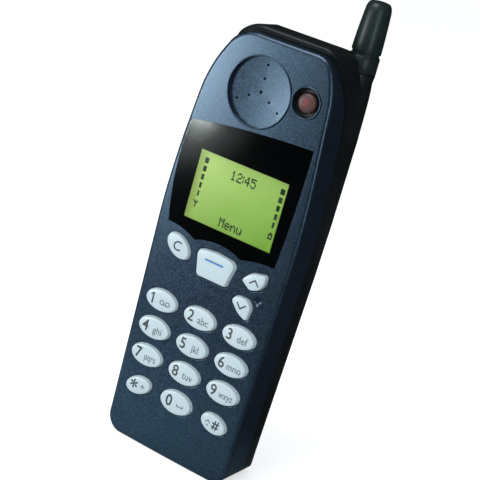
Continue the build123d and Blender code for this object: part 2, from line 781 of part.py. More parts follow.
with BuildPart() as antenna_bush:
    with Locations((antenna_x, face_y + antenna_depth, bush_low)):
        Cylinder(spigot_radius + bush_wall, 14.0 - gap, align=(Align.CENTER, Align.CENTER, Align.MIN))
    with Locations((antenna_x, face_y + antenna_depth, bush_low + 3 - fit)):
        Cylinder(
            spigot_radius + fit, 14.0,
            align=(Align.CENTER, Align.CENTER, Align.MIN), mode=Mode.SUBTRACT,
        )
antenna_bush.part.label = "antenna_bush"
export_step(antenna_bush.part, "parts/antenna_bush.step")

with BuildPart() as antenna_contact:
    with Locations((leaf_x, face_y + board_back + 0.2, bush_low - 2.5)):
        Box(3.0, 0.4, 5.0)
    with Locations((leaf_x, face_y + (board_back + antenna_depth) / 2, bush_low - 0.2)):
        Box(3.0, antenna_depth - board_back, 0.4)
antenna_contact.part.label = "antenna_contact"
export_step(antenna_contact.part, "parts/antenna_contact.step")

# Battery pack
lid_thick = 1.1
pack_mid = (pack_low + pack_high) / 2
pack_tall = pack_high - pack_low
latch_z = pack_high - 7.5
latch_wide = 13.0
latch_tall = 6.0
latch_travel = 1.5
with BuildPart() as pack_inside:
    add(inner_blank)
    with BuildSketch(depth_plane(pack_depth)):
        with Locations((0, pack_mid)):
            Rectangle(2 * body_width, pack_tall - 2 * shell_wall)
    extrude(amount=-body_depth, mode=Mode.INTERSECT)

with BuildPart() as battery_case:
    add(outer_blank)
    with BuildSketch(depth_plane(pack_depth + lid_thick)):
        with Locations((0, pack_mid)):
            Rectangle(2 * body_width, pack_tall)
    extrude(amount=-body_depth, mode=Mode.INTERSECT)
    add(pack_inside.part, mode=Mode.SUBTRACT)
    # opening of the latch button
    with BuildSketch(depth_plane(body_depth - 2 * shell_wall)):
        with Locations((0, latch_z - latch_travel / 2)):
            Rectangle(latch_wide + 2 * gap, latch_tall + latch_travel + 2 * gap)
    extrude(amount=-4 * shell_wall, mode=Mode.SUBTRACT)
battery_case.part.label = "battery_case"
export_step(battery_case.part, "parts/battery_case.step")

with BuildPart() as battery_lid:
    with BuildSketch(depth_plane(pack_depth)):
        add(body_outline(0))
        with Locations((0, pack_mid)):
            Rectangle(2 * body_width, pack_tall, mode=Mode.INTERSECT)
        with Locations(*[(x, contact_z) for x in contact_x]):
            Rectangle(2.0, 4.4, mode=Mode.SUBTRACT)
    extrude(amount=-lid_thick)
    add(outer_blank, mode=Mode.INTERSECT)
battery_lid.part.label = "battery_lid"
export_step(battery_lid.part, "parts/battery_lid.step")

with BuildPart() as battery_terminals:
    with Locations(*[(x, face_y + pack_depth + lid_thick / 2, contact_z) for x in contact_x]):
        Box(2.0 - 2 * fit, lid_thick, 4.4 - 2 * fit)
battery_terminals.part.label = "battery_terminals"
export_step(battery_terminals.part, "parts/battery_terminals.step")

cell_wide = 0.203 * body_width
cell_tall = pack_tall - 22.0
cell_thick = 0.165 * body_depth
with BuildPart() as battery_cells:
    with Locations((0, face_y + pack_depth + lid_thick + 0.3 + cell_thick / 2, pack_mid - 3.0)):
        with GridLocations(cell_wide + 0.4, 1, 3, 1):
            Box(cell_wide, cell_thick, cell_tall)
    fillet(battery_cells.edges().filter_by(Axis.Z), radius=2.0)
battery_cells.part.label = "battery_cells"
export_step(battery_cells.part, "parts/battery_cells.step")

plate_front = body_depth - shell_wall - 1.2
with BuildPart() as battery_latch:
    with BuildSketch(depth_plane(plate_front)):
        with Locations((0, latch_z)):
            Rectangle(latch_wide + 4.0, latch_tall + 3.2)
    extrude(amount=-1.0)
    with BuildSketch(depth_plane(plate_front + 1.0)):
        with Locations((0, latch_z)):
            Rectangle(latch_wide, latch_tall)
    extrude(amount=-(shell_wall - 0.1))
    with Locations((0, face_y + body_depth - 0.3, latch_z)):
        with GridLocations(1, 1.5, 1, 3):
            Box(latch_wide - 3, 0.8, 0.6, mode=Mode.SUBTRACT)
battery_latch.part.label = "battery_latch"
export_step(battery_latch.part, "parts/battery_latch.step")
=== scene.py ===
import math

import bpy
from mathutils import Matrix, Vector


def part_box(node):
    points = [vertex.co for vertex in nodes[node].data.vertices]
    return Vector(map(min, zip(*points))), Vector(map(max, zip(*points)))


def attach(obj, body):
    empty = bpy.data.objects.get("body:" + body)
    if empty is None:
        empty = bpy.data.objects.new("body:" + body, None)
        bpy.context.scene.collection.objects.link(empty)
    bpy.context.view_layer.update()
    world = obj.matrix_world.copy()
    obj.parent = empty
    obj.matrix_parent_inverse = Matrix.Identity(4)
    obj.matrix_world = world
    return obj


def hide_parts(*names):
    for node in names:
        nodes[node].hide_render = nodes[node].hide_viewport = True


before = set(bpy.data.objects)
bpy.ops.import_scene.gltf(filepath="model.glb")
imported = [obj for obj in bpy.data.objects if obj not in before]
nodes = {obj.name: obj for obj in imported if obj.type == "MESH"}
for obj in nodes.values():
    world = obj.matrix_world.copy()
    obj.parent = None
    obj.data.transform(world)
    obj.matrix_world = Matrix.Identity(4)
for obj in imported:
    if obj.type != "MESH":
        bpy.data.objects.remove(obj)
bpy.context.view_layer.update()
mm = 0.001
scene = bpy.context.scene
scene.view_settings.view_transform = "Standard"
print("stage: frame loaded")

# camera
view = {
    "azimuth": 27.05,    # degrees towards the phone's right-hand side
    "height": 15.94,     # degrees above the keypad
    "roll": 16.08,
    "distance": 391.0,
    "target": (5.48, -14.3, 73.8),
    "lens": 101.6,
}


def placeCamera(cfg):
    az, el, roll = (math.radians(cfg[key]) for key in ("azimuth", "height", "roll"))
    back = Vector((math.sin(az) * math.cos(el), -math.cos(az) * math.cos(el), math.sin(el)))
    level = Vector((math.cos(az), math.sin(az), 0))
    right = level * math.cos(roll) + back.cross(level) * math.sin(roll)
    up = back.cross(right)
    place = (Vector(cfg["target"]) + back * cfg["distance"]) * mm
    data = bpy.data.cameras.new("camera")
    data.lens = cfg["lens"]
    data.sensor_width = 36
    data.clip_start = 0.01
    camera = bpy.data.objects.new("camera", data)
    scene.collection.objects.link(camera)
    camera.matrix_world = Matrix((right, up, back)).transposed().to_4x4()
    camera.matrix_world.translation = place
    scene.camera = camera


placeCamera(view)


# modelling helpers
def deselectAll():
    active = bpy.context.view_layer.objects.active
    if active and active.mode != "OBJECT":
        bpy.ops.object.mode_set(mode="OBJECT")
    bpy.ops.object.select_all(action="DESELECT")


def pick(obj):
    deselectAll()
    obj.select_set(True)
    bpy.context.view_layer.objects.active = obj


# moves the object's place into its mesh
def settle(obj):
    pick(obj)
    bpy.ops.object.transform_apply(location=True, rotation=True, scale=True)


def useModifier(obj, kind, **values):
    pick(obj)
    modifier = obj.modifiers.new(kind.lower(), kind)
    for key, value in values.items():
        setattr(modifier, key, value)
    bpy.ops.object.modifier_apply(modifier=modifier.name)


def joinAll(parts, name):
    deselectAll()
    for part in parts:
        part.select_set(True)
    bpy.context.view_layer.objects.active = parts[0]
    if len(parts) > 1:
        bpy.ops.object.join()
    joined = bpy.context.view_layer.objects.active
    joined.name = name
    joined.data.name = name
    return joined


def smooth(obj, angle=35):
    pick(obj)
    bpy.ops.object.shade_smooth_by_angle(angle=math.radians(angle))


def faceOut(obj):
    pick(obj)
    bpy.ops.object.mode_set(mode="EDIT")
    bpy.ops.mesh.select_all(action="SELECT")
    bpy.ops.mesh.remove_doubles(threshold=1e-6)
    bpy.ops.mesh.normals_make_consistent(inside=False)
    bpy.ops.object.mode_set(mode="OBJECT")


def dress(obj, *materials):
    obj.data.materials.clear()
    for material in materials:
        obj.data.materials.append(material)


def declare(obj, body, slot, *replaced):
    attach(obj, body)
    if replaced:
        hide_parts(*replaced)


# shader groups
def newGroup(name, numbers, outputs):
    tree = bpy.data.node_groups.new(name, "ShaderNodeTree")
    tree.interface.new_socket(name="Place", in_out="INPUT", socket_type="NodeSocketVector")
    for label, value in numbers.items():
        socket = tree.interface.new_socket(name=label, in_out="INPUT", socket_type="NodeSocketFloat")
        socket.default_value = value
    for label in outputs:
        tree.interface.new_socket(name=label, in_out="OUTPUT", socket_type="NodeSocketFloat")
    return tree, tree.nodes.new("NodeGroupInput"), tree.nodes.new("NodeGroupOutput")


def addNode(tree, kind, settings=None, **inputs):
    made = tree.nodes.new("ShaderNode" + kind)
    for key, value in (settings or {}).items():
        setattr(made, key, value)
    for key, value in inputs.items():
        socket = made.inputs[int(key[1:])] if key[0] == "i" and key[1:].isdigit() else made.inputs[key]
        if isinstance(value, bpy.types.NodeSocket):
            tree.links.new(value, socket)
        else:
            socket.default_value = value
    return made


# moulded grain: a coarse and a fine noise, out as a value and as a height
def makeGrainGroup():
    tree, start, end = newGroup("mouldedGrain", {"Scale": 2000, "Fine": 0.5}, ("Value", "Height"))
    coarse = addNode(tree, "TexNoise", Vector=start.outputs["Place"], Scale=start.outputs["Scale"], Detail=2)
    finer = addNode(tree, "Math", {"operation": "MULTIPLY"}, i0=start.outputs["Scale"], i1=3.1)
    fine = addNode(tree, "TexNoise", Vector=start.outputs["Place"], Scale=finer.outputs[0], Detail=3)
    blend = addNode(tree, "Mix", {"data_type": "FLOAT"}, i0=start.outputs["Fine"])
    tree.links.new(coarse.outputs["Fac"], blend.inputs[2])
    tree.links.new(fine.outputs["Fac"], blend.inputs[3])
    spread = addNode(tree, "MapRange", None, Value=blend.outputs[0])
    spread.inputs["From Min"].default_value = 0.3
    spread.inputs["From Max"].default_value = 0.7
    tree.links.new(spread.outputs[0], end.inputs["Value"])
    tree.links.new(blend.outputs[0], end.inputs["Height"])
    return tree


# pearl flakes: one random value for each small cell
def makeFlakeGroup():
    tree, start, end = newGroup("pearlFlakes", {"Scale": 4000}, ("Value",))
    cells = addNode(tree, "TexVoronoi", None, Vector=start.outputs["Place"], Scale=start.outputs["Scale"])
    parts = addNode(tree, "SeparateColor", None, Color=cells.outputs["Color"])
    tree.links.new(parts.outputs[0], end.inputs["Value"])
    return tree


# handling marks: broad patches broken up by fine scratches
def makeWearGroup():
    tree, start, end = newGroup("handWear", {"Scale": 60, "Amount": 1}, ("Mask",))
    patch = addNode(tree, "TexNoise", Vector=start.outputs["Place"], Scale=start.outputs["Scale"], Detail=4)
    stretch = addNode(tree, "Mapping", Vector=start.outputs["Place"])
    stretch.inputs["Rotation"].default_value = (0.3, 0.5, 0.7)
    stretch.inputs["Scale"].default_value = (900, 900, 60)
    scratch = addNode(tree, "TexNoise", Vector=stretch.outputs[0], Scale=1, Detail=2)
    patchMask = addNode(tree, "MapRange", None, Value=patch.outputs["Fac"])
    patchMask.inputs["From Min"].default_value = 0.42
    patchMask.inputs["From Max"].default_value = 0.72
    lines = addNode(tree, "MapRange", None, Value=scratch.outputs["Fac"])
    lines.inputs["From Min"].default_value = 0.5
    lines.inputs["From Max"].default_value = 0.75
    both = addNode(tree, "Math", {"operation": "MULTIPLY_ADD"}, i0=patchMask.outputs[0], i1=lines.outputs[0])
    tree.links.new(patchMask.outputs[0], both.inputs[2])
    scaled = addNode(tree, "Math", {"operation": "MULTIPLY", "use_clamp": True},
                     i0=both.outputs[0], i1=start.outputs["Amount"])
    tree.links.new(scaled.outputs[0], end.inputs["Mask"])
    return tree


grainGroup = makeGrainGroup()
flakeGroup = makeFlakeGroup()
wearGroup = makeWearGroup()


def useGroup(tree, group, place, **numbers):
    made = tree.nodes.new("ShaderNodeGroup")
    made.node_tree = group
    tree.links.new(place, made.inputs["Place"])
    for label, value in numbers.items():
        made.inputs[label].default_value = value
    return made


def newMaterial(name):
    material = bpy.data.materials.new(name)
    material.use_nodes = True
    tree = material.node_tree
    shader = next(item for item in tree.nodes if item.type == "BSDF_PRINCIPLED")
    place = tree.nodes.new("ShaderNodeTexCoord").outputs["Object"]
    return material, tree, shader, place


def mixColour(tree, factor, first, second):
    mix = addNode(tree, "Mix", {"data_type": "RGBA"})
    if isinstance(factor, bpy.types.NodeSocket):
        tree.links.new(factor, mix.inputs[0])
    else:
        mix.inputs[0].default_value = factor
    for socket, value in ((mix.inputs[6], first), (mix.inputs[7], second)):
        if isinstance(value, bpy.types.NodeSocket):
            tree.links.new(value, socket)
        else:
            socket.default_value = (*value, 1)
    return mix.outputs[2]


# a moulded, rolled or printed surface with grain, handling marks and fine bump
def makeFinish(name, cfg):
    material, tree, shader, place = newMaterial(name)
    grain = useGroup(tree, grainGroup, place, Scale=cfg.get("grain", 2500), Fine=cfg.get("fine", 0.5))
    wear = useGroup(tree, wearGroup, place, Scale=cfg.get("patch", 70), Amount=cfg.get("wear", 0.6))
    base = cfg["colour"]
    other = cfg.get("second", tuple(0.72 * value for value in base))
    worn = cfg.get("worn", tuple(min(1, 1.25 * value + 0.01) for value in base))
    first = mixColour(tree, grain.outputs["Value"], other, base)
    colour = mixColour(tree, wear.outputs["Mask"], first, worn)
    tree.links.new(colour, shader.inputs["Base Color"])
    rough = addNode(tree, "MapRange", None, Value=wear.outputs["Mask"])
    rough.inputs["To Min"].default_value = cfg["rough"]
    rough.inputs["To Max"].default_value = cfg.get("rubbed", cfg["rough"] * 0.75)
    tree.links.new(rough.outputs[0], shader.inputs["Roughness"])
    shader.inputs["Metallic"].default_value = cfg.get("metal", 0)
    shader.inputs["Coat Weight"].default_value = cfg.get("coat", 0)
    shader.inputs["Coat Roughness"].default_value = cfg.get("coatRough", 0.1)
    bump = addNode(tree, "Bump", None, Height=grain.outputs["Height"], Strength=cfg.get("bump", 0.2))
    bump.inputs["Distance"].default_value = cfg.get("depth", 0.00005)
    tree.links.new(bump.outputs[0], shader.inputs["Normal"])
    return material


def makeCoverPaint(cfg):
    material, tree, shader, place = newMaterial("coverPaint")
    flakes = useGroup(tree, flakeGroup, place, Scale=cfg["flakeScale"])
    grain = useGroup(tree, grainGroup, place, Scale=cfg["grain"], Fine=0.4)
    wear = useGroup(tree, wearGroup, place, Scale=45, Amount=cfg["wear"])
    cloud = addNode(tree, "TexNoise", None, Vector=place, Scale=cfg["cloud"], Detail=3)
    base = mixColour(tree, flakes.outputs["Value"], cfg["dark"], cfg["light"])
    tinted = mixColour(tree, cloud.outputs["Fac"], base, cfg["tint"])
    tree.links.new(mixColour(tree, wear.outputs["Mask"], tinted, cfg["worn"]), shader.inputs["Base Color"])
    shader.inputs["Metallic"].default_value = cfg["metal"]
    rough = addNode(tree, "MapRange", None, Value=flakes.outputs["Value"])
    rough.inputs["To Min"].default_value = cfg["rough"] - 0.05
    rough.inputs["To Max"].default_value = cfg["rough"] + 0.08
    tree.links.new(rough.outputs[0], shader.inputs["Roughness"])
    shader.inputs["Coat Weight"].default_value = cfg["coat"]
    shader.inputs["Coat Roughness"].default_value = cfg["coatRough"]
    bump = addNode(tree, "Bump", None, Height=grain.outputs["Height"], Strength=cfg["bump"])
    bump.inputs["Distance"].default_value = 0.00004
    tree.links.new(bump.outputs[0], shader.inputs["Normal"])
    return material


coverPaintCfg = {
    "dark": (0.016, 0.030, 0.054),
    "light": (0.098, 0.136, 0.240),
    "tint": (0.036, 0.080, 0.115),
    "worn": (0.09, 0.12, 0.17),
    "metal": 0.88,
    "rough": 0.34,
    "coat": 0.5,
    "coatRough": 0.24,
    "flakeScale": 3000,
    "grain": 2400,
    "cloud": 24,           # scale of the soft patches of tint
    "wear": 0.15,
    "bump": 0.3,
}
coverPaint = makeCoverPaint(coverPaintCfg)

finishes = {
    "casePlastic": {"colour": (0.006, 0.010, 0.010), "rough": 0.42, "grain": 3200, "bump": 0.35, "wear": 0.35,
                    "worn": (0.020, 0.027, 0.027), "coat": 0.10, "coatRough": 0.3},
    "packPlastic": {"colour": (0.011, 0.015, 0.016), "rough": 0.46, "grain": 2600, "bump": 0.45, "wear": 0.45,
                    "worn": (0.024, 0.030, 0.031)},
    "keyPlastic": {"colour": (0.51, 0.61, 0.65), "second": (0.46, 0.56, 0.61), "worn": (0.57, 0.65, 0.68),
                   "rough": 0.34, "grain": 1500, "bump": 0.05, "wear": 0.5, "coat": 0.25, "coatRough": 0.25},
    # painted shade: darker grey for the key sides that sit down in the cover openings
    "skirtShadePlastic": {"colour": (0.30, 0.36, 0.42), "rough": 0.38, "grain": 1500, "bump": 0.05, "wear": 0.3},
    "maskPrint": {"colour": (0.0022, 0.0022, 0.003), "rough": 0.35, "grain": 1500, "bump": 0.02, "wear": 0.0},
    "inkDark": {"colour": (0.022, 0.030, 0.034), "second": (0.045, 0.052, 0.056), "rough": 0.5, "grain": 3000,
                "bump": 0.1, "wear": 0.4, "worn": (0.12, 0.13, 0.14)},
    "inkPale": {"colour": (0.10, 0.12, 0.13), "second": (0.16, 0.18, 0.19), "rough": 0.5, "grain": 3000,
                "bump": 0.1, "wear": 0.4},
    "inkScreen": {"colour": (0.020, 0.052, 0.014), "second": (0.030, 0.070, 0.020), "rough": 0.5,
                  "grain": 3000, "bump": 0.05, "wear": 0.0},
    "inkBlue": {"colour": (0.07, 0.24, 0.55), "rough": 0.45, "grain": 3000, "bump": 0.1, "wear": 0.3},
    "powerRubber": {"colour": (0.097, 0.041, 0.038), "second": (0.072, 0.035, 0.033), "rough": 0.42,
                    "grain": 2400, "bump": 0.3, "wear": 0.4, "worn": (0.14, 0.07, 0.067)},
    "inkRed": {"colour": (0.42, 0.015, 0.02), "rough": 0.5, "grain": 3000, "bump": 0.1, "wear": 0.3},
    "antennaRubber": {"colour": (0.010, 0.021, 0.020), "rough": 0.38, "grain": 1800, "bump": 0.4, "wear": 0.5,
                      "worn": (0.026, 0.040, 0.039)},
    "chassisPlastic": {"colour": (0.10, 0.11, 0.12), "rough": 0.5, "grain": 2200, "bump": 0.3},
    "boardLacquer": {"colour": (0.010, 0.105, 0.045), "second": (0.006, 0.06, 0.028), "rough": 0.28,
                     "grain": 900, "bump": 0.2, "coat": 0.5},
    "shieldMetal": {"colour": (0.62, 0.62, 0.60), "rough": 0.30, "metal": 1, "grain": 1800, "bump": 0.15},
    "matRubber": {"colour": (0.11, 0.115, 0.12), "rough": 0.7, "grain": 2000, "bump": 0.3},
    "domeFilm": {"colour": (0.62, 0.56, 0.38), "rough": 0.3, "grain": 1200, "bump": 0.1, "coat": 0.4},
    "guidePlastic": {"colour": (0.70, 0.78, 0.62), "rough": 0.2, "grain": 1400, "bump": 0.1},
    "speakerPlastic": {"colour": (0.035, 0.035, 0.04), "rough": 0.5, "grain": 2400, "bump": 0.3},
    "foam": {"colour": (0.03, 0.03, 0.03), "rough": 0.9, "grain": 2600, "bump": 0.9},
    "cardPlastic": {"colour": (0.76, 0.76, 0.72), "rough": 0.35, "grain": 1400, "bump": 0.1},
    "brassTurned": {"colour": (0.72, 0.50, 0.20), "rough": 0.25, "metal": 1, "grain": 2600, "bump": 0.15},
    "goldPlate": {"colour": (0.88, 0.62, 0.25), "rough": 0.2, "metal": 1, "grain": 2200, "bump": 0.1},
    "steel": {"colour": (0.50, 0.50, 0.51), "rough": 0.32, "metal": 1, "grain": 2600, "bump": 0.2},
    "cellWrap": {"colour": (0.06, 0.14, 0.36), "rough": 0.25, "grain": 1200, "bump": 0.15, "coat": 0.5},
    "latchPlastic": {"colour": (0.022, 0.026, 0.030), "rough": 0.45, "grain": 2400, "bump": 0.4, "wear": 0.7,
                     "worn": (0.05, 0.055, 0.06)},
}
made = {name: makeFinish(name, cfg) for name, cfg in finishes.items()}


windowCfg = {
    "colour": (0.97, 0.99, 0.98, 1),
    "tint": (0.95, 1, 0.98, 1),
    "rubbed": 0.03,        # roughness where it is worn
    "ior": 1.12,
    "coatRough": 0.10,
    "coatIor": 1.52,
}


# clear moulded plate: the surface gloss sits in the coat, which is a little softer than the plate
def makeWindowClear(cfg):
    material, tree, shader, place = newMaterial("windowClear")
    wear = useGroup(tree, wearGroup, place, Scale=50, Amount=0.5)
    rough = addNode(tree, "MapRange", None, Value=wear.outputs["Mask"])
    rough.inputs["To Min"].default_value = 0.0
    rough.inputs["To Max"].default_value = cfg["rubbed"]
    tree.links.new(rough.outputs[0], shader.inputs["Roughness"])
    shader.inputs["Base Color"].default_value = cfg["colour"]
    shader.inputs["Transmission Weight"].default_value = 1
    shader.inputs["IOR"].default_value = cfg["ior"]
    shader.inputs["Coat Weight"].default_value = 1
    shader.inputs["Coat Roughness"].default_value = cfg["coatRough"]
    shader.inputs["Coat IOR"].default_value = cfg["coatIor"]
    shader.inputs["Coat Tint"].default_value = cfg["tint"]
    return material


lcdCfg = {
    "bright": (0.485, 0.575, 0.175),
    "deep": (0.215, 0.36, 0.045),
    # painted light: the film glows to make up for light that the lens keeps from it
    "glow": 0.72,
    "paintedLightSlope": (24, -20),    # painted light: paler towards the upper left, change across and up the screen, per metre
    "middle": (0.0, -0.0119, 0.0839),
    "grid": (0.12, 0.22, 0.04),
    "cell": (0.35, 0.42),  # across and up, in mm
}


# green film that glows as painted light, paler towards the upper left as painted light too, a little uneven,
# with the faint grid of its cells
def makeLcdGreen(cfg):
    material, tree, shader, place = newMaterial("lcdGreen")
    centred = addNode(tree, "Mapping", None, Vector=place)
    centred.inputs["Location"].default_value = tuple(-value for value in cfg["middle"])
    cloud = addNode(tree, "TexNoise", None, Vector=centred.outputs[0], Scale=45, Detail=3)
    parts = addNode(tree, "SeparateXYZ", None, Vector=centred.outputs[0])
    across = addNode(tree, "Math", {"operation": "MULTIPLY_ADD"}, i0=parts.outputs["X"], i1=cfg["paintedLightSlope"][0])
    tree.links.new(cloud.outputs["Fac"], across.inputs[2])
    shade = addNode(tree, "Math", {"operation": "MULTIPLY_ADD", "use_clamp": True},
                    i0=parts.outputs["Z"], i1=cfg["paintedLightSlope"][1])
    tree.links.new(across.outputs[0], shade.inputs[2])
    base = mixColour(tree, shade.outputs[0], cfg["bright"], cfg["deep"])
    lines = []
    for axis, pitch in zip("XZ", cfg["cell"]):
        wave = addNode(tree, "Math", {"operation": "MULTIPLY"},
                       i0=parts.outputs[axis], i1=2 * math.pi / (pitch * mm))
        turned = addNode(tree, "Math", {"operation": "COSINE"}, i0=wave.outputs[0])
        line = addNode(tree, "MapRange", None, Value=turned.outputs[0])
        line.inputs["From Min"].default_value = 0.8
        line.inputs["To Max"].default_value = 0.10
        lines.append(line.outputs[0])
    grid = addNode(tree, "Math", {"operation": "MAXIMUM"}, i0=lines[0], i1=lines[1])
    colour = mixColour(tree, grid.outputs[0], base, cfg["grid"])
    tree.links.new(colour, shader.inputs["Base Color"])
    # the film's own colour glows as painted light
    tree.links.new(colour, shader.inputs["Emission Color"])
    shader.inputs["Emission Strength"].default_value = cfg["glow"]
    shader.inputs["Roughness"].default_value = 0.5
    return material


windowClear = makeWindowClear(windowCfg)
lcdGreen = makeLcdGreen(lcdCfg)
print("stage: materials made")

# CAD nodes that keep their shape
nodeFinish = {
    "front_cover": coverPaint, "display_lens": windowClear, "display_mask": made["maskPrint"],
    "rear_case": made["casePlastic"], "battery_case": made["packPlastic"], "battery_lid": made["packPlastic"],
    "battery_latch": made["latchPlastic"], "chassis_frame": made["chassisPlastic"],
    "main_board": made["boardLacquer"], "rf_shield": made["shieldMetal"], "key_mat": made["matRubber"],
    "dome_sheet": made["domeFilm"], "display_frame": made["shieldMetal"], "light_guide": made["guidePlastic"],
    "earpiece_speaker": made["speakerPlastic"], "earpiece_gasket": made["foam"], "microphone": made["steel"],
    "microphone_boot": made["matRubber"], "buzzer": made["speakerPlastic"],
    "sim_holder": made["speakerPlastic"], "sim_card": made["cardPlastic"],
    "system_connector": made["speakerPlastic"],
    "charger_socket": made["brassTurned"], "battery_contacts": made["speakerPlastic"],
    "power_switch": made["steel"], "antenna_bush": made["brassTurned"], "antenna_contact": made["goldPlate"],
    "case_screws": made["steel"], "battery_cells": made["cellWrap"], "battery_terminals": made["goldPlate"],
}
for name, material in nodeFinish.items():
    dress(nodes[name], material)


# joined-up copy of a CAD node whose smooth faces are shaded as one
def softCopy(node, piece, body, slot, material, angle=30):
    copy = nodes[node].copy()
    copy.data = nodes[node].data.copy()
    for key in list(copy.keys()):
        del copy[key]
    copy.parent = None
    copy.name = piece
    copy.data.name = piece
    scene.collection.objects.link(copy)
    pick(copy)
    if copy.data.has_custom_normals:
        bpy.ops.mesh.customdata_custom_splitnormals_clear()
    bpy.ops.object.mode_set(mode="EDIT")
    bpy.ops.mesh.select_all(action="SELECT")
    bpy.ops.mesh.remove_doubles(threshold=2e-6)
    bpy.ops.object.mode_set(mode="OBJECT")
    smooth(copy, angle)
    useModifier(copy, "WEIGHTED_NORMAL", keep_sharp=True)
    dress(copy, material)
    declare(copy, body, slot, node)
    return copy


# round pieces are stacks of rings about an upright or a forward axis
# rings: (distance along the axis, radius) from the first closed end to the last
def makeRings(name, centre, rings, forward=False, sides=64):
    turn = (math.radians(90), 0, 0) if forward else (0, 0, 0)
    axis = Vector((0, -1, 0)) if forward else Vector((0, 0, 1))
    start, radius = rings[0]
    deselectAll()
    bpy.ops.mesh.primitive_circle_add(
        vertices=sides, radius=radius * mm, fill_type="NGON", rotation=turn,
        location=(Vector(centre) + axis * start) * mm,
    )
    obj = bpy.context.object
    obj.name = name
    settle(obj)
    bpy.ops.object.mode_set(mode="EDIT")
    bpy.ops.mesh.select_all(action="SELECT")
    scene.cursor.location = (0, 0, 0)
    for (low, wasRadius), (high, newRadius) in zip(rings, rings[1:]):
        bpy.ops.mesh.extrude_region_move(TRANSFORM_OT_translate={"value": axis * (high - low) * mm})
        ratio = newRadius / wasRadius
        bpy.ops.transform.resize(value=(ratio, ratio if not forward else 1, 1 if not forward else ratio),
                                 center_override=(Vector(centre) + axis * high) * mm)
    bpy.ops.object.mode_set(mode="OBJECT")
    faceOut(obj)
    return obj


# antenna
antennaCfg = {
    "centre": (17.39, 5.70),
    "rings": [
        (117.5, 2.33), (128.5, 2.33), (128.5, 4.44), (128.6, 4.52), (131.0, 4.50), (133.15, 4.46),
        (133.3, 4.36), (133.4, 4.05), (134.0, 4.02), (134.2, 4.10), (134.35, 4.34), (134.6, 4.40),
        (138.0, 4.30), (142.0, 4.10), (145.6, 3.88), (147.0, 3.72), (147.9, 3.45), (148.5, 3.05),
        (148.85, 2.5), (149.0, 1.6),
    ],
}
antenna = makeRings("antennaSleeve", (*antennaCfg["centre"], 0), antennaCfg["rings"])
smooth(antenna, 40)
dress(antenna, made["antennaRubber"])
declare(antenna, "handset", "antenna_rubber", "antenna_stub")
print("stage: antenna made")

# keys
keyCfg = {
    "skirtTop": -14.32,    # the skirt, coloured darker grey as painted shade, ends here and the pale crown begins
    "back": -12.0,
    "flange": 0.52,
    "flangeThick": 0.6,
    "bevel": 1.0,
    # each ring: share of the outline, y
    "rings": [(1.02, -12.05), (1.02, -14.16), (1.008, -14.26), (0.99, -14.28), (0.972, -14.18),
              (0.968, -14.34), (0.968, -14.98), (0.957, -15.09), (0.93, -15.18), (0.86, -15.27),
              (0.71, -15.36), (0.50, -15.42), (0.25, -15.46)],
}
keyPitch = (14.02, 9.095)    # between columns and between rows
topRow = 46.46
# oval keys: x and z of the middle, width, height, tilt
ovals = {
    "key_clear": (-13.42, 64.45, 9.42, 5.87, -31),
    "key_star": (-keyPitch[0], 18.08, 8.97, 5.61, 18),
    "key_0": (0, 18.61, 11.21, 7.12, 0),
    "key_hash": (keyPitch[0], 18.08, 8.97, 5.61, -12),
}
for index in range(9):
    column, row = index % 3 - 1, index // 3
    ovals[f"key_{index + 1}"] = (column * keyPitch[0], topRow - row * keyPitch[1], 11.21, 6.59, 0)
# the other keys: x and z of the middle, then the corners about it
drawn = {
    "key_menu": ((0, 63.15), [
        (-6.8, 2.6), (-5.4, 3.7), (0, 4.3), (5.4, 3.7), (6.8, 2.6), (5.2, -4.5), (-5.2, -4.5),
    ]),
    "key_up": ((keyPitch[0], 58.86), [
        (-4.4, 4.5), (-1.6, 7.4), (3.3, 8.4), (3.5, 5.8), (2.2, 3.4), (-0.7, 2.2),
    ]),
    "key_down": ((keyPitch[0], 58.86), [
        (-5.7, -2.3), (-4.2, -0.6), (-0.5, -0.6), (1.4, -2.6), (0.9, -7.0), (-2.4, -5.6),
    ]),
}


def middle(points):
    return sum(x for x, z in points) / len(points), sum(z for x, z in points) / len(points)


# upright disc of radius 1, facing forwards
def makeDisc(sides):
    deselectAll()
    bpy.ops.mesh.primitive_circle_add(
        vertices=sides, radius=1, fill_type="NGON", rotation=(math.radians(90), 0, 0),
    )
    disc = bpy.context.object
    settle(disc)
    return disc


# filled outline of one key, upright and facing forwards
def makeKeyOutline(name, y, grow=0.0):
    if name in ovals:
        x, z, wide, tall, tilt = ovals[name]
        outline = makeDisc(56)
        outline.scale = ((wide / 2 + grow) * mm, 1, (tall / 2 + grow) * mm)
        settle(outline)
        outline.rotation_euler = (0, -math.radians(tilt), 0)
        outline.location = (x * mm, y * mm, z * mm)
        settle(outline)
        return outline
    (midX, midZ), corners = drawn[name]
    outline = makeDisc(len(corners))
    centreX, centreZ = middle(corners)
    # corners and points of the disc are matched by going round both the same way
    loop = sorted(corners, key=lambda corner: math.atan2(corner[1] - centreZ, corner[0] - centreX))
    spots = sorted(outline.data.vertices, key=lambda spot: math.atan2(spot.co.z, spot.co.x))
    for spot, (cornerX, cornerZ) in zip(spots, loop):
        spot.co = ((midX + cornerX) * mm, y * mm, (midZ + cornerZ) * mm)
    pick(outline)
    bpy.ops.object.mode_set(mode="EDIT")
    bpy.ops.mesh.select_all(action="SELECT")
    bpy.ops.mesh.bevel(affect="VERTICES", offset=keyCfg["bevel"] * mm, segments=6)
    if grow:
        wide = max(x for x, z in corners) - min(x for x, z in corners)
        size = 1 + 2 * grow / wide
        spot = ((midX + centreX) * mm, y * mm, (midZ + centreZ) * mm)
        bpy.ops.transform.resize(value=(size, 1, size), center_override=spot)
    bpy.ops.object.mode_set(mode="OBJECT")
    return outline


def keyCentre(name):
    if name in ovals:
        return ovals[name][:2]
    (midX, midZ), corners = drawn[name]
    centreX, centreZ = middle(corners)
    return midX + centreX, midZ + centreZ


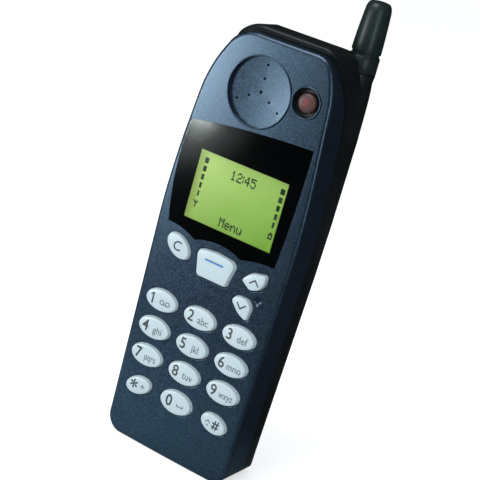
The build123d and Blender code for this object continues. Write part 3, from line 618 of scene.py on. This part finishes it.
def makeKeyCap(name):
    cap = makeKeyOutline(name, keyCfg["back"])
    keyX, keyZ = keyCentre(name)
    pick(cap)
    bpy.ops.object.mode_set(mode="EDIT")
    bpy.ops.mesh.select_mode(type="FACE")
    bpy.ops.mesh.select_all(action="SELECT")
    nowY, nowShare = keyCfg["back"], 1.0
    for share, y in keyCfg["rings"]:
        bpy.ops.mesh.extrude_region_move(TRANSFORM_OT_translate={"value": (0, (y - nowY) * mm, 0)})
        ratio = share / nowShare
        bpy.ops.transform.resize(value=(ratio, 1, ratio), center_override=(keyX * mm, y * mm, keyZ * mm))
        nowY, nowShare = y, share
    bpy.ops.object.mode_set(mode="OBJECT")
    # faces behind the skirt's top take the darker grey of painted shade
    for poly in cap.data.polygons:
        poly.material_index = 0 if poly.center.y < keyCfg["skirtTop"] * mm else 1
    flange = makeKeyOutline(name, keyCfg["back"] + keyCfg["flangeThick"], keyCfg["flange"])
    pick(flange)
    bpy.ops.object.mode_set(mode="EDIT")
    bpy.ops.mesh.select_all(action="SELECT")
    bpy.ops.mesh.extrude_region_move(TRANSFORM_OT_translate={"value": (0, -keyCfg["flangeThick"] * mm, 0)})
    bpy.ops.object.mode_set(mode="OBJECT")
    dress(cap, made["keyPlastic"], made["skirtShadePlastic"])
    dress(flange, made["skirtShadePlastic"])
    faceOut(cap)
    faceOut(flange)
    return cap, flange


signCfg = {
    "start": -16.5,    # signs start in front of the crowns and are pushed back onto them
    "proud": 0.03,
}


# lays a flat sign onto the crown behind it
def layOn(sign, target, material):
    useModifier(sign, "SHRINKWRAP", target=target, wrap_method="PROJECT", use_project_x=False,
                use_project_y=True, use_project_z=False, use_positive_direction=True,
                use_negative_direction=False, offset=signCfg["proud"] * mm)
    dress(sign, material)


# printed sign on the crown of a key
def makeLegend(text, x, z, size, material, target, thick, squeeze):
    deselectAll()
    bpy.ops.object.text_add()
    sign = bpy.context.object
    sign.data.body = text
    sign.data.size = size * mm
    sign.data.align_x = "CENTER"
    sign.data.align_y = "CENTER"
    sign.data.offset = thick * mm
    sign.data.resolution_u = 4
    bpy.ops.object.convert(target="MESH")
    sign = bpy.context.object
    sign.scale = (squeeze, 1, 1)
    sign.rotation_euler = (math.radians(90), 0, 0)
    sign.location = (x * mm, signCfg["start"] * mm, z * mm)
    settle(sign)
    bpy.ops.object.mode_set(mode="EDIT")
    bpy.ops.mesh.select_all(action="SELECT")
    bpy.ops.mesh.remove_doubles(threshold=1e-6)
    bpy.ops.mesh.subdivide(number_cuts=2)
    bpy.ops.object.mode_set(mode="OBJECT")
    layOn(sign, target, material)
    return sign


ink, pale, blue = made["inkDark"], made["inkPale"], made["inkBlue"]
letters = {2: "abc", 3: "def", 4: "ghi", 5: "jkl", 6: "mno", 7: "pqrs", 8: "tuv", 9: "wxyz"}
# each sign: text, x and z from the middle of the key, size, ink, thickening, squeeze
legends = {name: [] for name in list(ovals) + list(drawn)}
legends["key_clear"] = [("C", 0.0, 0.0, 4.2, ink, 0.04, 1.0)]
legends["key_star"] = [("*", -1.3, -1.0, 6.2, ink, 0.09, 1.0), ("+", 1.9, 0.2, 2.9, pale, 0.03, 1.0)]
legends["key_0"] = [("0", -2.1, 0.0, 5.0, ink, 0.08, 0.95)]
legends["key_1"] = [("oo", 1.7, 0.0, 3.3, pale, 0.0, 1.1)]
for digit, row in letters.items():
    legends[f"key_{digit}"] = [
        (str(digit), -2.75, 0.0, 4.9, ink, 0.06, 0.95),
        (row, 1.75, -0.3, 3.15, pale, 0.02, 0.90 if len(row) < 4 else 0.74),
    ]


# printed bar on the crown of a key
def makeBar(x, z, wide, tall, turn, material, target):
    deselectAll()
    bpy.ops.mesh.primitive_plane_add(size=1, rotation=(math.radians(90), 0, 0))
    bar = bpy.context.object
    settle(bar)
    bpy.ops.object.mode_set(mode="EDIT")
    bpy.ops.mesh.select_all(action="SELECT")
    bpy.ops.mesh.subdivide(number_cuts=6)
    bpy.ops.object.mode_set(mode="OBJECT")
    bar.scale = (wide * mm, 1, tall * mm)
    settle(bar)
    bar.rotation_euler = (0, -math.radians(turn), 0)
    bar.location = (x * mm, signCfg["start"] * mm, z * mm)
    settle(bar)
    layOn(bar, target, material)
    return bar


# each bar: x and z from the middle of the key, length, thickness, turn, ink
bars = {
    "key_menu": [(0.0, 0.2, 6.4, 0.62, 0, blue)],
    "key_up": [(-0.78, 0.0, 2.3, 0.42, 42, ink), (0.68, 0.0, 2.3, 0.42, -48, ink)],
    "key_down": [(-0.72, 0.0, 2.3, 0.42, -48, ink), (0.68, 0.0, 2.3, 0.42, 42, ink)],
    "key_1": [(-2.75, 0.0, 3.5, 0.52, 90, ink), (-3.15, 1.25, 1.3, 0.45, 38, ink),
              (1.7, -0.85, 2.4, 0.28, 0, pale)],
    "key_0": [(2.0, -0.5, 2.3, 0.32, 0, pale), (0.98, -0.2, 0.8, 0.3, 90, pale),
              (3.02, -0.2, 0.8, 0.3, 90, pale)],
    "key_hash": [(0.75, 0.1, 3.1, 0.42, 78, ink), (1.75, 0.1, 3.1, 0.42, 78, ink),
                 (1.25, 0.65, 2.5, 0.40, 0, ink), (1.15, -0.5, 2.5, 0.40, 0, ink),
                 (-1.95, 0.45, 1.3, 0.32, 45, pale), (-1.15, 0.45, 1.3, 0.32, -45, pale),
                 (-1.55, -0.75, 0.9, 0.32, 0, pale)],
}
for name in list(ovals) + list(drawn):
    cap, flange = makeKeyCap(name)
    keyX, keyZ = keyCentre(name)
    signs = [makeLegend(text, keyX + x, keyZ + z, size, material, cap, thick, squeeze)
             for text, x, z, size, material, thick, squeeze in legends[name]]
    signs += [makeBar(keyX + x, keyZ + z, wide, tall, turn, material, cap)
              for x, z, wide, tall, turn, material in bars.get(name, [])]
    key = joinAll([cap, flange] + signs, "cap_" + name)
    smooth(key, 40)
    declare(key, name, "key_plastic", name)
print("stage: keys made")

# power button
powerCfg = {
    "centre": (13.31, 0, 117.9),
    "rings": [(11.4, 3.75), (11.66, 3.75), (11.68, 2.85), (13.3, 2.85), (13.6, 2.75), (13.85, 2.5),
              (14.02, 2.1), (14.12, 1.5), (14.17, 0.8)],
    "mark": (0.85, 0.13),           # radius of the ring and of its wire
    "markFront": -14.13,
    "bar": (0.45, 0.26, 1.1),       # how far up, width, height
}
powerX, powerZ = powerCfg["centre"][0], powerCfg["centre"][2]
power = makeRings("powerCap", powerCfg["centre"], powerCfg["rings"], forward=True, sides=48)
dress(power, made["powerRubber"])
deselectAll()
ringRadius, wireRadius = powerCfg["mark"]
bpy.ops.mesh.primitive_torus_add(
    major_radius=ringRadius * mm, minor_radius=wireRadius * mm, major_segments=32, minor_segments=8,
    rotation=(math.radians(90), 0, 0), location=(powerX * mm, powerCfg["markFront"] * mm, powerZ * mm),
)
powerMark = bpy.context.object
settle(powerMark)
dress(powerMark, made["inkRed"])
barUp, barWide, barTall = powerCfg["bar"]
powerBar = makeBar(powerX, powerZ + barUp, barWide, barTall, 0, made["inkRed"], power)
power = joinAll([power, powerMark, powerBar], "powerCap")
smooth(power, 40)
declare(power, "power_button", "power_plastic", "power_button")
print("stage: power button made")

# display
glyphs = {
    "M": ["10001", "11011", "10101", "10001", "10001", "10001", "10001"],
    "e": ["00000", "00000", "01110", "10001", "11111", "10000", "01110"],
    "n": ["00000", "00000", "10110", "11001", "10001", "10001", "10001"],
    "u": ["00000", "00000", "10001", "10001", "10001", "10011", "01101"],
    "1": ["00100", "01100", "00100", "00100", "00100", "00100", "01110"],
    "2": ["01110", "10001", "00001", "00110", "01000", "10000", "11111"],
    "4": ["00010", "00110", "01010", "10010", "11111", "00010", "00010"],
    "5": ["11111", "10000", "11110", "00001", "00001", "10001", "01110"],
    ":": ["0", "1", "1", "0", "1", "1", "0"],
}
screenCfg = {
    "middle": (0.0, 83.9),
    "pitch": (0.345, 0.41),
    "front": -11.87,
    "words": [("12:45", 0.0, 6.2), ("Menu", 0.0, -8.3)],
    "dot": 1.14,            # each dark cell as a share of its pitch
    "barX": (-13.3, 13.2),
    "barTop": 8.0,
    "barStep": 2.55,
    "barWide": ((3.4, 0.45), (3.8, 0.5)),    # left and right: longest bar, and how much each one loses
    "icons": (["10101", "01110", "00100", "00100", "00100"], ["0110", "1111", "1001", "1001", "1111"]),
    "iconTop": -5.3,
    "rim": 0.7,             # between the plate's edge and the sunk film
    "sunk": 0.06,
}


# dark cells of the screen: two words, the signal bars and the battery bars
def makePixels(cfg):
    stepX, stepZ = cfg["pitch"]
    cells = []
    for word, midX, midZ in cfg["words"]:
        wide = sum(len(glyphs[sign][0]) + 1 for sign in word) - 1
        column = -wide / 2
        for sign in word:
            for row, line in enumerate(glyphs[sign]):
                for spot, dot in enumerate(line):
                    if dot == "1":
                        cells.append((midX + (column + spot + 0.5) * stepX, midZ + (3 - row) * stepZ, 1, 1))
            column += len(glyphs[sign][0]) + 1
    for midX, (longest, loss), lines in zip(cfg["barX"], cfg["barWide"], cfg["icons"]):
        for level in range(5):
            for row in range(4):
                height = cfg["barTop"] - level * cfg["barStep"] - row * stepZ
                cells.append((midX, height, longest - level * loss, 1))
        for row, line in enumerate(lines):
            for spot, dot in enumerate(line):
                if dot == "1":
                    across = midX + (spot + 0.5 - len(line) / 2) * stepX
                    cells.append((across, cfg["iconTop"] - row * stepZ, 1, 1))
    deselectAll()
    bpy.ops.mesh.primitive_plane_add(size=1, rotation=(math.radians(90), 0, 0))
    stamp = bpy.context.object
    settle(stamp)
    parts = [stamp]
    for x, z, wide, tall in cells:
        copy = stamp.copy()
        copy.data = stamp.data.copy()
        scene.collection.objects.link(copy)
        copy.scale = (wide * stepX * cfg["dot"] * mm, 1, tall * stepZ * cfg["dot"] * mm)
        copy.location = ((cfg["middle"][0] + x) * mm, cfg["front"] * mm, (cfg["middle"][1] + z) * mm)
        parts.append(copy)
    bpy.data.objects.remove(parts.pop(0))
    pixels = joinAll(parts, "screenCells")
    settle(pixels)
    dress(pixels, made["inkScreen"])
    return pixels


# glass plate with a sunk film in its front
low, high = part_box("display_glass")
size = Vector(high) - Vector(low)
deselectAll()
bpy.ops.mesh.primitive_cube_add(size=1, location=(Vector(low) + Vector(high)) / 2, scale=size)
screen = bpy.context.object
screen.name = "screenPlate"
settle(screen)
useModifier(screen, "BEVEL", width=0.12 * mm, segments=2)
bpy.ops.object.mode_set(mode="EDIT")
bpy.ops.mesh.select_mode(type="FACE")
bpy.ops.mesh.select_all(action="DESELECT")
bpy.ops.object.mode_set(mode="OBJECT")
for poly in screen.data.polygons:
    poly.select = poly.normal.y < -0.99 and poly.area > 1e-4
bpy.ops.object.mode_set(mode="EDIT")
bpy.ops.mesh.inset(thickness=screenCfg["rim"] * mm, depth=0)
bpy.ops.mesh.inset(thickness=0.05 * mm, depth=-screenCfg["sunk"] * mm)
bpy.ops.object.mode_set(mode="OBJECT")
smooth(screen, 30)
dress(screen, lcdGreen)
declare(screen, "handset", "display", "display_glass")
pixels = makePixels(screenCfg)
declare(pixels, "handset", "display")
print("stage: display made")

# shells
# faces deep in the power button's well are coloured dark as painted shade
wellShadeCfg = {"floor": -12.6, "radius": 4.5}
cover = softCopy("front_cover", "coverShell", "cover", "cover_paint", coverPaint)
cover.data.materials.append(made["casePlastic"])
for poly in cover.data.polygons:
    spot = poly.center / mm
    away = math.hypot(spot.x - powerX, spot.z - powerZ)
    if spot.y > wellShadeCfg["floor"] and away < wellShadeCfg["radius"]:
        poly.material_index = 1    # painted shade: the well's floor takes the dark case plastic
softCopy("rear_case", "rearShell", "handset", "case_plastic", made["casePlastic"])
softCopy("battery_case", "packShell", "battery", "pack_plastic", made["packPlastic"])
softCopy("display_lens", "windowPlate", "cover", "lens_clear", windowClear, 20)
print("stage: shells made")


# places in metres; what the phone mirrors is darker than the floor itself, tinted blue-green near the phone
# and with a glowing patch at the front left, as painted reflections
floorCfg = {
    "colour": (0.92, 0.92, 0.92, 1),
    "near": (0.32, 0.46, 0.50),
    "far": (0.027, 0.031, 0.035),
    "nearPlace": (-0.04, -0.03, 0),
    "nearReach": (0.025, 0.095),
    "glowPlace": (-0.41, -0.37, 0),
    "glowReach": (0.12, 0.20),
    "glowColour": (0.92, 1.0, 0.98, 1),
    "glow": 2.0,
    "seen": 0.55,
}


# goes from start to end between two distances from a place
def addReach(tree, place, spot, reach, start, end):
    away = addNode(tree, "VectorMath", {"operation": "DISTANCE"}, i0=place, i1=spot)
    fade = addNode(tree, "MapRange", None, Value=away.outputs["Value"])
    for label, value in zip(("From Min", "From Max", "To Min", "To Max"), (*reach, start, end)):
        fade.inputs[label].default_value = value
    return fade.outputs[0]


# floor and its surroundings
def makeStage(cfg):
    deselectAll()
    bpy.ops.mesh.primitive_plane_add(size=12, location=(0, 0, 0))
    floor = bpy.context.object
    floor.name = "floor"
    material, tree, shader, place = newMaterial("floorPale")
    shader.inputs["Base Color"].default_value = cfg["colour"]
    shader.inputs["Roughness"].default_value = 0.9
    # painted reflection: the floor near the phone is mirrored in a blue-green tint
    fade = addReach(tree, place, cfg["nearPlace"], cfg["nearReach"], 0, 1)
    dim = addNode(tree, "BsdfDiffuse")
    tree.links.new(mixColour(tree, fade, cfg["near"], cfg["far"]), dim.inputs[0])
    path = addNode(tree, "LightPath")
    # painted reflection: a glowing patch seen only in the phone's gloss
    strength = addReach(tree, place, cfg["glowPlace"], cfg["glowReach"], cfg["glow"], 0)
    bright = addNode(tree, "Emission", None, Color=cfg["glowColour"], Strength=strength)
    mirrored = addNode(tree, "AddShader", None, i0=dim.outputs[0], i1=bright.outputs[0])
    mix = addNode(tree, "MixShader", None,
                  i0=path.outputs["Is Glossy Ray"], i1=shader.outputs[0], i2=mirrored.outputs[0])
    end = next(item for item in tree.nodes if item.type == "OUTPUT_MATERIAL")
    lit = addNode(tree, "Emission", None, Strength=cfg["seen"])
    white = addNode(tree, "AddShader", None, i0=mix.outputs[0], i1=lit.outputs[0])
    seen = addNode(tree, "MixShader", None,
                   i0=path.outputs["Is Camera Ray"], i1=mix.outputs[0], i2=white.outputs[0])
    tree.links.new(seen.outputs[0], end.inputs["Surface"])
    dress(floor, material)


makeStage(floorCfg)

# power in watts, sizes and places in mm
lamps = {
    "leftBox": {"place": (-300, -335, 72), "aim": (-10, -14, 100), "size": (150, 122), "power": 0.62,
                "colour": (0.90, 1.0, 0.99)},
    "overhead": {"place": (-160, -420, 620), "aim": (0, 0, 70), "size": (420, 420), "power": 2.4,
                 "colour": (1.0, 1.0, 1.0)},
    "rightStrip": {"place": (330, -300, 110), "aim": (20, 0, 80), "size": (36, 330), "power": 0.35,
                   "colour": (0.80, 0.96, 1.0)},
}


def addLamp(name, cfg):
    data = bpy.data.lights.new(name, "AREA")
    data.shape = "RECTANGLE"
    data.size, data.size_y = (value * mm for value in cfg["size"])
    data.energy = cfg["power"]
    data.color = cfg["colour"]
    lamp = bpy.data.objects.new(name, data)
    scene.collection.objects.link(lamp)
    place = Vector(cfg["place"]) * mm
    lamp.location = place
    lamp.rotation_euler = (Vector(cfg["aim"]) * mm - place).to_track_quat("-Z", "Y").to_euler()


for name, cfg in lamps.items():
    addLamp(name, cfg)


worldCfg = {
    "colour": (0.92, 0.95, 1.0, 1),
    "soft": 0.55,
    "mirroredColour": (0.6, 0.7, 0.8, 1),
    "mirrored": 0.035,
}


def makeWorld(cfg):
    world = bpy.data.worlds.new("studio")
    scene.world = world
    world.use_nodes = True
    tree = world.node_tree
    end = next(item for item in tree.nodes if item.type == "OUTPUT_WORLD")
    path = addNode(tree, "LightPath")
    soft = next(item for item in tree.nodes if item.type == "BACKGROUND")
    soft.inputs["Color"].default_value = cfg["colour"]
    soft.inputs["Strength"].default_value = cfg["soft"]
    mirrored = addNode(tree, "Background", None, Color=cfg["mirroredColour"], Strength=cfg["mirrored"])
    seen = addNode(tree, "Background", None, Color=(1, 1, 1, 1), Strength=1.0)
    first = addNode(tree, "MixShader", None,
                    i0=path.outputs["Is Glossy Ray"], i1=soft.outputs[0], i2=mirrored.outputs[0])
    second = addNode(tree, "MixShader", None,
                     i0=path.outputs["Is Camera Ray"], i1=first.outputs[0], i2=seen.outputs[0])
    tree.links.new(second.outputs[0], end.inputs["Surface"])


makeWorld(worldCfg)
print("stage: lights made")
